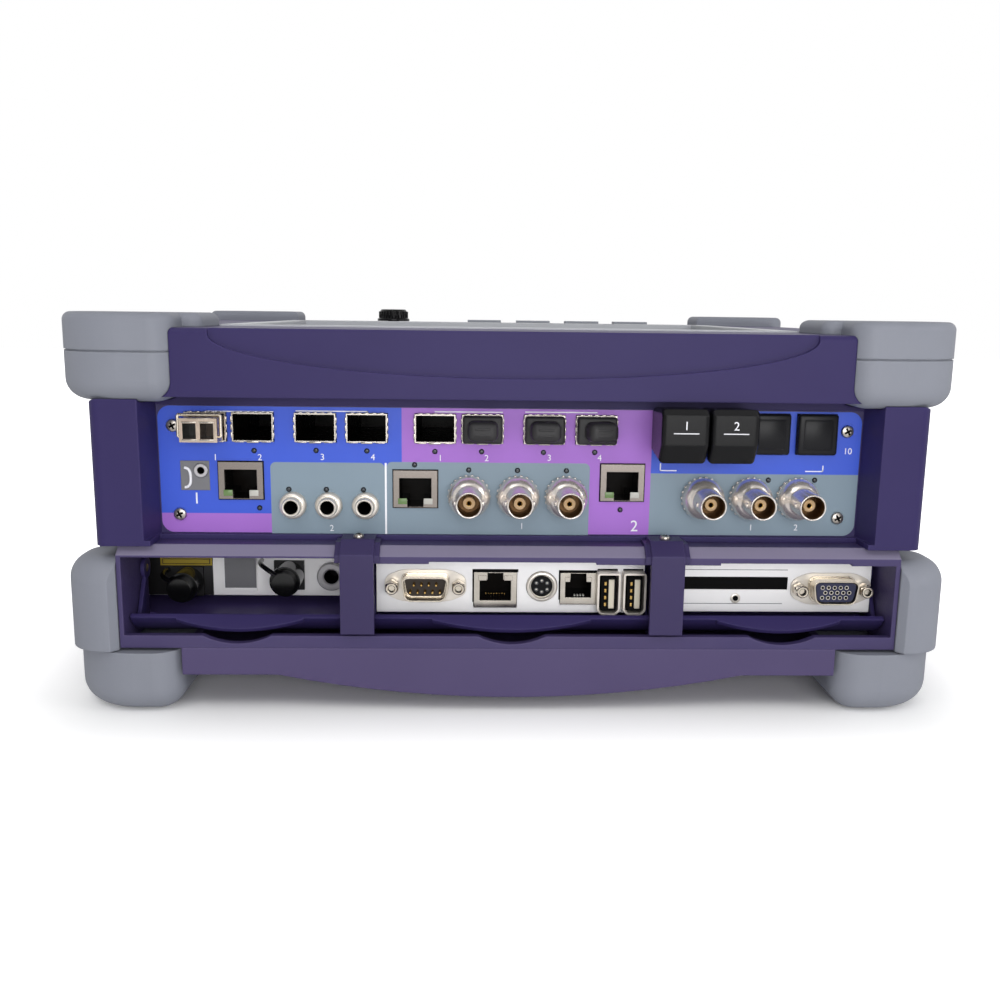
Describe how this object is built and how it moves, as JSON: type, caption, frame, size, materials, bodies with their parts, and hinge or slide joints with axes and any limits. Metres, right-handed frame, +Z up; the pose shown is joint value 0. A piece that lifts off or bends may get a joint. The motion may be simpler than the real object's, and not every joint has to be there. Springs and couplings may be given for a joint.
{
  "type": "optical time domain reflectometer",
  "caption": "Modular fibre and network test set on its back: connector bays with curved doors, a plug-in port module between base and lid, and rubber corner bumpers.",
  "frame": {"origin": "on the bench, under the middle of the instrument", "axes": "-Y is the connector edge, +X is to the right of it, +Z is up, with the display on top"},
  "size_m": [0.326, 0.276, 0.147],
  "materials": {
    "body_purple": "fine-textured painted moulding",
    "bumper_grey": "matt moulded rubber",
    "plate_metal": "satin",
    "module_label": "printed film in blue, violet and grey",
    "cage_steel": "folded nickel-plated sheet",
    "nickel": "nickel plate",
    "screw_steel": "zinc plate",
    "insulator": "white insulator",
    "black_rubber": "matt",
    "black_plastic": "satin",
    "screen_glass": "clear",
    "screen_panel": "switched off",
    "key_grey": "satin",
    "board_green": "solder mask",
    "block_grey": "sheet box"
  },
  "bodies": {
    "instrument": {"lower_housing": "body_purple", "base_frame": "body_purple", "module_housing": "body_purple", "top_housing": "body_purple", "bay_posts": "body_purple", "bay_floor": "body_purple", "feet": "bumper_grey", "corner_guards": "bumper_grey", "upper_bumpers": "bumper_grey", "middle_plate": "plate_metal", "right_plate": "plate_metal", "left_plates": "plate_metal", "module_plate": "module_label", "cages_left": "cage_steel", "cages_right": "cage_steel", "card_cage": "cage_steel", "serial_port": "nickel", "video_port": "nickel", "usb_ports": "nickel", "network_jacks": "nickel", "phone_jack": "nickel", "keyboard_port": "nickel", "jackscrews": "nickel", "bantam_jacks": "nickel", "coax_jacks": "nickel", "fibre_ports": "nickel", "headset_jacks": "nickel", "screws": "screw_steel", "door_pins": "screw_steel", "coax_cores": "insulator", "optical_adaptors": "black_plastic", "display_bezel": "black_plastic", "battery_pack": "black_plastic", "fan_frame": "black_plastic", "display_glass": "screen_glass", "display_panel": "screen_panel", "main_board": "board_green", "module_board": "board_green", "key_board": "board_green", "optical_block": "block_grey"},
    "door_left": {"door_left": "body_purple"},
    "door_middle": {"door_middle": "body_purple"},
    "door_right": {"door_right": "body_purple"},
    "knob": {"knob": "black_plastic"},
    "key_1": {"key_1": "key_grey"},
    "key_2": {"key_2": "key_grey"},
    "key_3": {"key_3": "key_grey"},
    "key_4": {"key_4": "key_grey"},
    "transceiver": {"transceiver": "cage_steel"},
    "transceiver_bail": {"transceiver_bail": "cage_steel"},
    "plug_second": {"plug_second": "black_rubber"},
    "plug_third": {"plug_third": "black_rubber"},
    "plug_fourth": {"plug_fourth": "black_rubber"},
    "optical_cap_left": {"optical_cap_left": "black_plastic"},
    "optical_cap_right": {"optical_cap_right": "black_plastic"},
    "optical_cover_left": {"optical_cover_left": "black_plastic"},
    "optical_cover_right": {"optical_cover_right": "black_plastic"},
    "fibre_cap_black": {"fibre_cap_black": "black_rubber"},
    "fibre_cap_metal": {"fibre_cap_metal": "black_rubber"},
    "fan_rotor": {"fan_rotor": "black_plastic"}
  },
  "joints": [
    {"name": "door_left_hinge", "type": "hinge", "parent": "instrument", "child": "door_left", "pos_m": [-0.10045, -0.1093, 0.0486], "axis": [-1, 0, 0], "range_deg": [0, 53]},
    {"name": "door_middle_hinge", "type": "hinge", "parent": "instrument", "child": "door_middle", "pos_m": [0, -0.1093, 0.0486], "axis": [-1, 0, 0], "range_deg": [0, 53]},
    {"name": "door_right_hinge", "type": "hinge", "parent": "instrument", "child": "door_right", "pos_m": [0.10045, -0.1093, 0.0486], "axis": [-1, 0, 0], "range_deg": [0, 53]},
    {"name": "knob_turn", "type": "hinge", "parent": "instrument", "child": "knob", "pos_m": [-0.0606, 0.11, 0.145], "axis": [0, 0, 1], "continuous": true},
    {"name": "key_1_press", "type": "slide", "parent": "instrument", "child": "key_1", "axis": [0, 0, -1], "range_m": [0, 0.0012], "stiffness_N_per_m": 400, "springref_m": -0.002},
    {"name": "key_2_press", "type": "slide", "parent": "instrument", "child": "key_2", "axis": [0, 0, -1], "range_m": [0, 0.0012], "stiffness_N_per_m": 400, "springref_m": -0.002},
    {"name": "key_3_press", "type": "slide", "parent": "instrument", "child": "key_3", "axis": [0, 0, -1], "range_m": [0, 0.0012], "stiffness_N_per_m": 400, "springref_m": -0.002},
    {"name": "key_4_press", "type": "slide", "parent": "instrument", "child": "key_4", "axis": [0, 0, -1], "range_m": [0, 0.0012], "stiffness_N_per_m": 400, "springref_m": -0.002},
    {"name": "transceiver_pull", "type": "slide", "parent": "instrument", "child": "transceiver", "axis": [0, -1, 0], "range_m": [0, 0.06]},
    {"name": "plug_second_pull", "type": "slide", "parent": "instrument", "child": "plug_second", "axis": [0, -1, 0], "range_m": [0, 0.03]},
    {"name": "plug_third_pull", "type": "slide", "parent": "instrument", "child": "plug_third", "axis": [0, -1, 0], "range_m": [0, 0.03]},
    {"name": "plug_fourth_pull", "type": "slide", "parent": "instrument", "child": "plug_fourth", "axis": [0, -1, 0], "range_m": [0, 0.03]},
    {"name": "optical_cap_left_pull", "type": "slide", "parent": "instrument", "child": "optical_cap_left", "axis": [0, -1, 0], "range_m": [0, 0.03]},
    {"name": "optical_cap_right_pull", "type": "slide", "parent": "instrument", "child": "optical_cap_right", "axis": [0, -1, 0], "range_m": [0, 0.03]},
    {"name": "optical_cover_left_pull", "type": "slide", "parent": "instrument", "child": "optical_cover_left", "axis": [0, -1, 0], "range_m": [0, 0.03]},
    {"name": "optical_cover_right_pull", "type": "slide", "parent": "instrument", "child": "optical_cover_right", "axis": [0, -1, 0], "range_m": [0, 0.03]},
    {"name": "fibre_cap_black_pull", "type": "slide", "parent": "instrument", "child": "fibre_cap_black", "axis": [0, -1, 0], "range_m": [0, 0.016]},
    {"name": "fibre_cap_metal_pull", "type": "slide", "parent": "instrument", "child": "fibre_cap_metal", "axis": [0, -1, 0], "range_m": [0, 0.016]},
    {"name": "bail_hinge", "type": "hinge", "parent": "transceiver", "child": "transceiver_bail", "pos_m": [-0.1123, -0.1278, 0.1015], "axis": [1, 0, 0], "range_deg": [0, 90]},
    {"name": "fan_turn", "type": "hinge", "parent": "instrument", "child": "fan_rotor", "pos_m": [0, 0.12, 0.0881], "axis": [0, 1, 0], "continuous": true}
  ]
}
